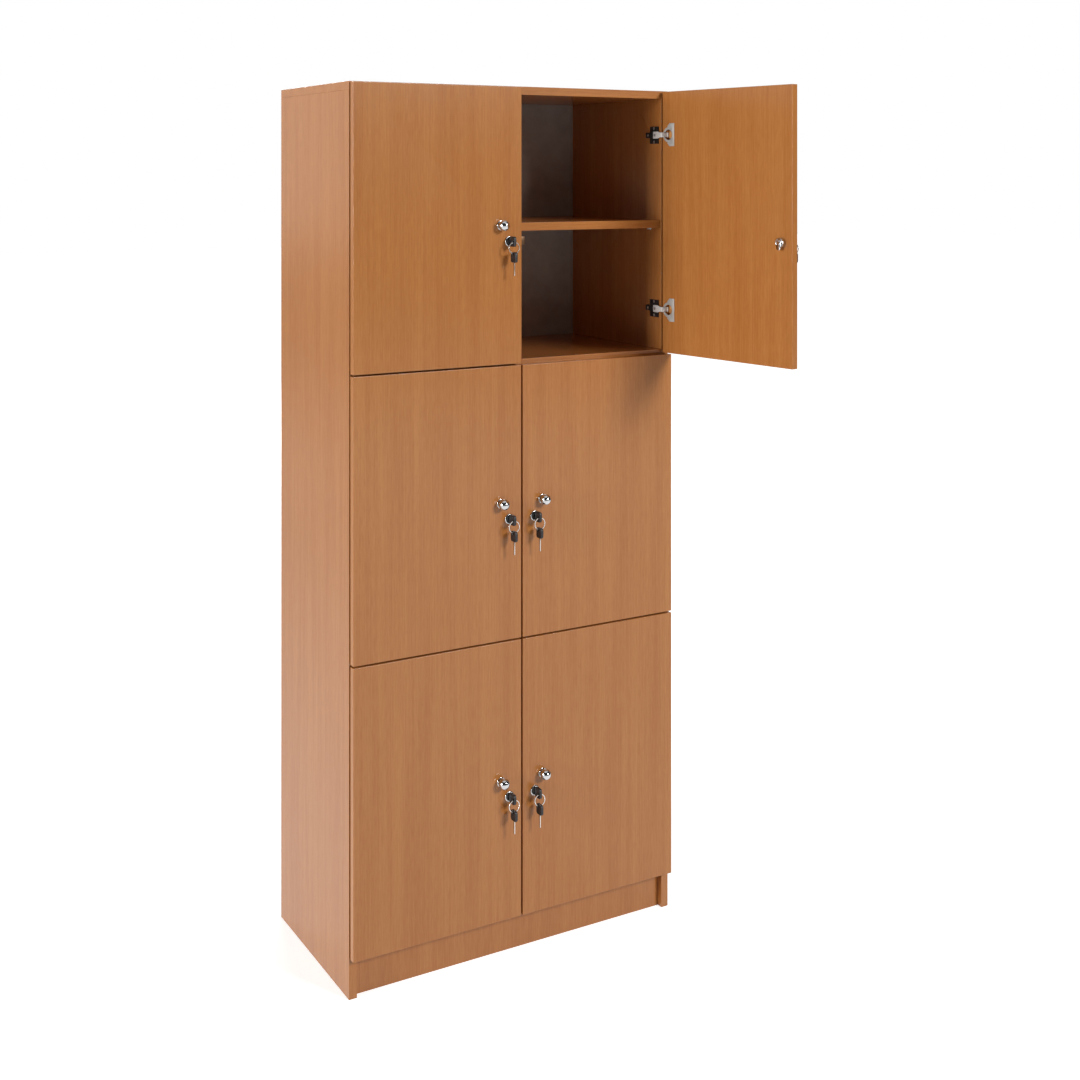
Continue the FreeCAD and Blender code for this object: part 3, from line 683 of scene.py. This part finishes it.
class LOCKER_OT_locks(bpy.types.Operator):
    """Makes the cam locks: barrel and nut on the door, plug and cam that turn in them"""

    bl_idname = "locker.locks"
    bl_label = "Cam locks"

    def execute(self, context):
        chrome = polished_chrome()
        for where in DOORS:
            place = on_door(where, LOCK_POINT)
            barrel = bmesh.new()
            for part in (self.barrel(), self.nut()):
                add_part(barrel, part, place)
            nodes = ["lock_barrel_" + where]
            finish_piece(barrel, "barrel_" + where, [chrome], where + "_door", nodes)
            cam = bmesh.new()
            for part in (self.plug(), self.cam(), self.cam_screw()):
                add_part(cam, part, place)
            nodes = ["lock_cam_" + where]
            finish_piece(cam, "plug_and_cam_" + where, [chrome], where + "_lock", nodes)
        return {"FINISHED"}

    def barrel(self):
        """Tube through the door, with a collar on its front."""
        tail = -DOOR_THICKNESS - BARREL_TAIL
        part = turned(
            [(BORE_RADIUS, COLLAR_HEIGHT), (COLLAR_RADIUS - COLLAR_CHAMFER, COLLAR_HEIGHT),
             (COLLAR_RADIUS, COLLAR_HEIGHT - COLLAR_CHAMFER), (COLLAR_RADIUS, 0), (BARREL_RADIUS, 0),
             (BARREL_RADIUS, tail), (BORE_RADIUS, tail)], closed=True)
        ease(part, SMALL_EDGE)
        return part

    def nut(self):
        """Round nut that holds the barrel from inside."""
        end = -DOOR_THICKNESS - NUT_HEIGHT
        part = turned(
            [(BARREL_RADIUS, -DOOR_THICKNESS), (NUT_RADIUS, -DOOR_THICKNESS), (NUT_RADIUS, end),
             (BARREL_RADIUS, end)], closed=True)
        ease(part, SMALL_EDGE)
        return part

    def plug(self):
        """The plug, with the keyway let into its front."""
        radius = BORE_RADIUS - PLUG_PLAY
        tail = -DOOR_THICKNESS - BARREL_TAIL - TAIL_PLAY
        slot = rounded_outline(KEYWAY_HALF_WIDTH, KEYWAY_HALF_HEIGHT, KEYWAY_CORNER)
        part = bmesh.new()
        outer = loop(part, circle_outline(radius, (0, 0), len(slot)), COLLAR_HEIGHT)
        inner = loop(part, slot, COLLAR_HEIGHT)
        bmesh.ops.bridge_loops(part, edges=outer + inner)
        for edges, depth in ((inner, KEYWAY_DEPTH), (outer, COLLAR_HEIGHT - tail)):
            made = bmesh.ops.extrude_edge_only(part, edges=edges)["geom"]
            deep = [v for v in made if isinstance(v, bmesh.types.BMVert)]
            bmesh.ops.translate(part, vec=(0, 0, -depth * MM), verts=deep)
            drawn = [e for e in made if isinstance(e, bmesh.types.BMEdge)]
            rim = [e for e in drawn if all(v in deep for v in e.verts)]
            bmesh.ops.contextual_create(part, geom=rim)
        return part

    def cam(self):
        """Flat cam, rounded at both ends, hanging down from the lock's axis."""
        low = (0, CAM_HALF_WIDTH - CAM_REACH)
        outline = arc((0, 0), CAM_HALF_WIDTH, 0, 180, LOOP_STEPS)
        outline += arc(low, CAM_HALF_WIDTH, 180, 360, LOOP_STEPS)
        part = slab(outline, CAM_THICKNESS)
        ease(part, SMALL_EDGE)
        front = -DOOR_THICKNESS - BARREL_TAIL - TAIL_PLAY
        bmesh.ops.translate(part, vec=(0, 0, (front - CAM_THICKNESS / 2) * MM), verts=part.verts)
        return part

    def cam_screw(self):
        """Low head of the screw that holds the cam."""
        base = -DOOR_THICKNESS - BARREL_TAIL - TAIL_PLAY - CAM_THICKNESS
        top = base - CAM_SCREW_HEIGHT
        edge = CAM_SCREW_RADIUS - CAM_SCREW_HEIGHT / 2
        return turned([(0, base), (CAM_SCREW_RADIUS, base), (CAM_SCREW_RADIUS, base - CAM_SCREW_HEIGHT / 2),
                       (edge, top), (0, top)])


class LOCKER_OT_keys(bpy.types.Operator):
    """Makes the keys in the locks, their split rings and the spare keys on the rings"""

    bl_idname = "locker.keys"
    bl_label = "Keys"

    def execute(self, context):
        plastic = black_abs()
        nickel = key_nickel()
        ring_out = (DOOR_FRONT - RING_POINT.y) / MM
        ring_up = (RING_POINT.z - LOCK_POINT.z) / MM
        in_lock = axes((0, 1, 0), (0, 0, 1), (1, 0, 0), (0, 0, COLLAR_HEIGHT - KEY_IN_LOCK))
        spare_tip = 2 * ring_up + HOLE_FROM_END - HEAD_LENGTH - BLADE_LENGTH
        hanging = axes((0, 0, -1), (0, 1, 0), (1, 0, 0), (0, spare_tip, ring_out))
        on_ring = Matrix.Translation(Vector((0, ring_up, ring_out)) * MM)
        for where in DOORS:
            place = on_door(where, LOCK_POINT)
            for kind, body, turn in (("key_", "_key", in_lock), ("spare_key_", "_spare", hanging)):
                node = kind + where
                head = bmesh.new()
                add_part(head, self.head(), place @ turn)
                finish_piece(head, kind + "head_" + where, [plastic], where + body, [node])
                blade = bmesh.new()
                add_part(blade, self.blade(), place @ turn)
                finish_piece(blade, kind + "blade_" + where, [nickel], where + body)
            ring = bmesh.new()
            add_part(ring, self.split_ring(), place @ on_ring)
            finish_piece(ring, "split_ring_" + where, [nickel], where + "_key")
        return {"FINISHED"}

    def head(self):
        """Moulded head with a hole for the ring."""
        middle = (0, BLADE_LENGTH + HEAD_LENGTH / 2)
        outline = rounded_outline(HEAD_WIDTH / 2, HEAD_LENGTH / 2, HEAD_CORNER, middle)
        hole = circle_outline(HOLE_RADIUS, (0, BLADE_LENGTH + HEAD_LENGTH - HOLE_FROM_END), len(outline))
        part = holed_slab(outline, hole, HEAD_THICKNESS)
        ease(part, HEAD_EDGE, segments=3)
        return part

    def blade(self):
        """Flat blade with a pointed tip and rounded notches along one edge."""
        half = BLADE_HEIGHT / 2
        outline = [(-half + NOTCH_DEPTH, 0), (half - NOTCH_DEPTH, 0), (half, NOTCH_DEPTH)]
        for step in range(NOTCH_COUNT):
            at = BLADE_HEIGHT * (step + 1)
            outline += [(half, at - NOTCH_DEPTH), (half - NOTCH_DEPTH, at), (half, at + NOTCH_DEPTH)]
        end = BLADE_LENGTH + BLADE_IN_HEAD
        outline += [(half, end), (-half, end), (-half, NOTCH_DEPTH)]
        part = slab(outline, BLADE_THICKNESS)
        ease(part, BLADE_EDGE)
        return part

    def split_ring(self):
        """Flat wire wound on itself, its ends cut square."""
        part = bmesh.new()
        start = -RING_TURN * RING_TURNS / 2
        section = rounded_outline(RING_WIRE / 2, RING_TURN / 2, RING_CORNER)
        edges = loop(part, section, 0)
        end = bmesh.ops.contextual_create(part, geom=edges)["faces"]
        out = Matrix.Translation((RING_RADIUS * MM, 0, (start + RING_TURN / 2) * MM))
        bmesh.ops.transform(part, matrix=out @ FACE_TURN, verts=part.verts)
        steps = int(SPIN_STEPS * RING_TURNS)
        climb = RING_TURN * (RING_TURNS - 1) / steps * MM
        bmesh.ops.spin(
            part, geom=end, cent=(0, 0, 0), axis=(0, 0, 1), dvec=(0, 0, climb), angle=math.tau * RING_TURNS,
            steps=steps, use_merge=False, use_duplicate=False)
        return part


class LOCKER_OT_stage(bpy.types.Operator):
    """Sets the floor, the lamps, the white surroundings and the camera"""

    bl_idname = "locker.stage"
    bl_label = "Stage"

    def execute(self, context):
        settings = context.scene.locker_stage
        context.scene.view_settings.view_transform = "Standard"
        self.floor()
        self.surroundings(settings.ambient)
        self.lamp("key_lamp", KEY_PLACE, KEY_SIZE, settings.key_power)
        self.lamp("fill_lamp", FILL_PLACE, FILL_SIZE, settings.fill_power)
        self.lamp("back_lamp", BACK_PLACE, BACK_SIZE, settings.back_power)
        self.dark_screen()
        camera = bpy.data.cameras.new("camera")
        camera.sensor_width = SENSOR_WIDTH
        camera.lens = settings.lens
        camera.shift_x = settings.cross
        camera.shift_y = settings.rise
        stand = bpy.data.objects.new("camera", camera)
        stand.location = settings.camera_place
        stand.rotation_euler = (math.radians(90), 0, -settings.camera_turn)
        context.scene.collection.objects.link(stand)
        context.scene.camera = stand
        return {"FINISHED"}

    def by_ray(self, tree, camera, glossy, other):
        """A strength that depends on the kind of ray; rays through glass see what the camera sees."""
        path = add_node(tree, "ShaderNodeLightPath").outputs
        seen = {0: path["Is Camera Ray"], 1: path["Is Transmission Ray"]}
        direct = add_node(tree, "ShaderNodeMath", seen, operation="MAXIMUM").outputs["Value"]
        mirrored = mapped(tree, path["Is Glossy Ray"], 0.0, 1.0, other, glossy)
        return mapped(tree, direct, 0.0, 1.0, mirrored, camera)

    def floor(self):
        """Pale matt floor that keeps the shadow and runs into the white surroundings further off."""
        material = bpy.data.materials.new("pale_floor")
        material.use_nodes = True
        tree = material.node_tree
        tree.nodes.clear()
        matt = add_node(tree, "ShaderNodeBsdfDiffuse", {"Color": FLOOR_TONE})
        place = add_node(tree, "ShaderNodeTexCoord").outputs["Object"]
        away = add_node(tree, "ShaderNodeVectorMath", {0: place}, operation="LENGTH").outputs["Value"]
        shown = mapped(tree, away, FLOOR_NEAR, FLOOR_FAR, FLOOR_SHOWN_NEAR, FLOOR_SHOWN_FAR)
        mirrored = mapped(tree, away, FLOOR_NEAR, FLOOR_FAR, FLOOR_MIRRORED_NEAR, FLOOR_MIRRORED_FAR)
        lift = self.by_ray(tree, shown, mirrored, 0.0)
        glow = add_node(tree, "ShaderNodeEmission", {"Color": WHITE, "Strength": lift})
        both = add_node(tree, "ShaderNodeAddShader", {0: matt.outputs["BSDF"], 1: glow.outputs["Emission"]})
        add_node(tree, "ShaderNodeOutputMaterial", {"Surface": both.outputs["Shader"]})
        bm = bmesh.new()
        bmesh.ops.create_grid(bm, x_segments=1, y_segments=1, size=FLOOR_HALF)
        bmesh.ops.translate(bm, vec=(0, 0, -FLOOR_DROP), verts=bm.verts)
        mesh = bpy.data.meshes.new("floor")
        bm.to_mesh(mesh)
        bm.free()
        mesh.materials.append(material)
        floor = bpy.data.objects.new("floor", mesh)
        bpy.context.scene.collection.objects.link(floor)

    def surroundings(self, ambient):
        """White all round to the camera, with only the even light falling on the cabinet."""
        world = bpy.data.worlds.new("surroundings")
        bpy.context.scene.world = world
        world.use_nodes = True
        tree = world.node_tree
        tree.nodes.clear()
        strength = self.by_ray(tree, SKY_SHOWN, SKY_MIRRORED, ambient)
        light = add_node(tree, "ShaderNodeBackground", {"Color": WHITE, "Strength": strength})
        add_node(tree, "ShaderNodeOutputWorld", {"Surface": light.outputs["Background"]})

    def lamp(self, name, place, size, power):
        """Square soft lamp, turned to the middle of the cabinet."""
        lamp = bpy.data.lights.new(name, "AREA")
        lamp.size = size
        lamp.energy = power
        stand = bpy.data.objects.new(name, lamp)
        stand.location = place
        aim = Vector(LAMP_TARGET) - Vector(place)
        stand.rotation_euler = aim.to_track_quat("-Z", "Y").to_euler()
        bpy.context.scene.collection.objects.link(stand)

    def dark_screen(self):
        """A black screen round the front that shows only in reflections, as in a photo studio."""
        material, _, shader = new_material("black_cloth")
        shader.inputs["Base Color"].default_value = SCREEN_TONE
        bm = bmesh.new()
        foot = bm.verts.new((-SCREEN_DISTANCE, 0, 0))
        head = bm.verts.new((-SCREEN_DISTANCE, 0, SCREEN_HEIGHT))
        edge = bm.edges.new((foot, head))
        bmesh.ops.spin(
            bm, geom=[foot, head, edge], cent=(0, 0, 0), axis=(0, 0, 1), dvec=(0, 0, 0), angle=math.pi,
            steps=SPIN_STEPS, use_merge=False, use_duplicate=False)
        mesh = bpy.data.meshes.new("dark_screen")
        bm.to_mesh(mesh)
        bm.free()
        mesh.materials.append(material)
        screen = bpy.data.objects.new("dark_screen", mesh)
        screen.visible_camera = False
        screen.visible_diffuse = False
        screen.visible_shadow = False
        screen.visible_transmission = False
        bpy.context.scene.collection.objects.link(screen)


class LOCKER_PT_panel(bpy.types.Panel):
    """Lists the steps that dress the cabinet"""

    bl_idname = "LOCKER_PT_panel"
    bl_label = "Locker cabinet"
    bl_space_type = "VIEW_3D"
    bl_region_type = "UI"
    bl_category = "Locker"

    def draw(self, context):
        for operator in OPERATORS:
            self.layout.operator(operator.bl_idname)
        for group in (context.scene.locker_boards, context.scene.locker_stage):
            box = self.layout.box()
            for name in group.bl_rna.properties.keys():
                if name not in ("rna_type", "name"):
                    box.prop(group, name)


OPERATORS = (
    LOCKER_OT_boards, LOCKER_OT_joinery, LOCKER_OT_hinges, LOCKER_OT_knobs, LOCKER_OT_locks, LOCKER_OT_keys,
    LOCKER_OT_stage)
CLASSES = (LockerBoards, LockerStage, *OPERATORS, LOCKER_PT_panel)


def register():
    for cls in CLASSES:
        bpy.utils.register_class(cls)
    bpy.types.Scene.locker_boards = bpy.props.PointerProperty(type=LockerBoards)
    bpy.types.Scene.locker_stage = bpy.props.PointerProperty(type=LockerStage)


def unregister():
    del bpy.types.Scene.locker_boards
    del bpy.types.Scene.locker_stage
    for cls in reversed(CLASSES):
        bpy.utils.unregister_class(cls)


def main():
    register()
    bpy.ops.locker.boards()
    bpy.ops.locker.joinery()
    bpy.ops.locker.hinges()
    bpy.ops.locker.knobs()
    bpy.ops.locker.locks()
    bpy.ops.locker.keys()
    bpy.ops.locker.stage()


if __name__ == "__main__":
    main()
